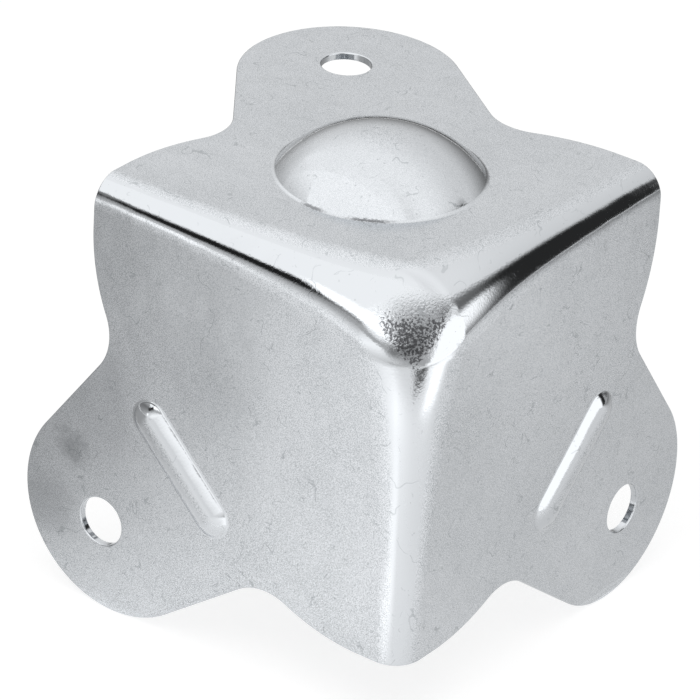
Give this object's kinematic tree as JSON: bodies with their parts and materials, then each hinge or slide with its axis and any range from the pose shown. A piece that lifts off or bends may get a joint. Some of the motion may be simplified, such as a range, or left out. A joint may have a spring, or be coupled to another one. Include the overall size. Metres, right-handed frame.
{
  "type": "flight case corner",
  "caption": "Pressed sheet-steel corner that wraps the corner of a case, with three eared plates, a round dome on top and a rib on each side.",
  "frame": {"origin": "corner point of the case that the part covers, where the inner planes of the three plates meet", "axes": "+Z out of the top plate that carries the dome, +X out of the right plate, -Y out of the left plate; the case fills negative x, positive y and negative z"},
  "size_m": [0.0512, 0.0512, 0.0553],
  "materials": {
    "zinc_steel": "bright zinc plating, satin, with fine drawing marks"
  },
  "bodies": {
    "root": {"case_corner": "zinc_steel"}
  },
  "joints": []
}
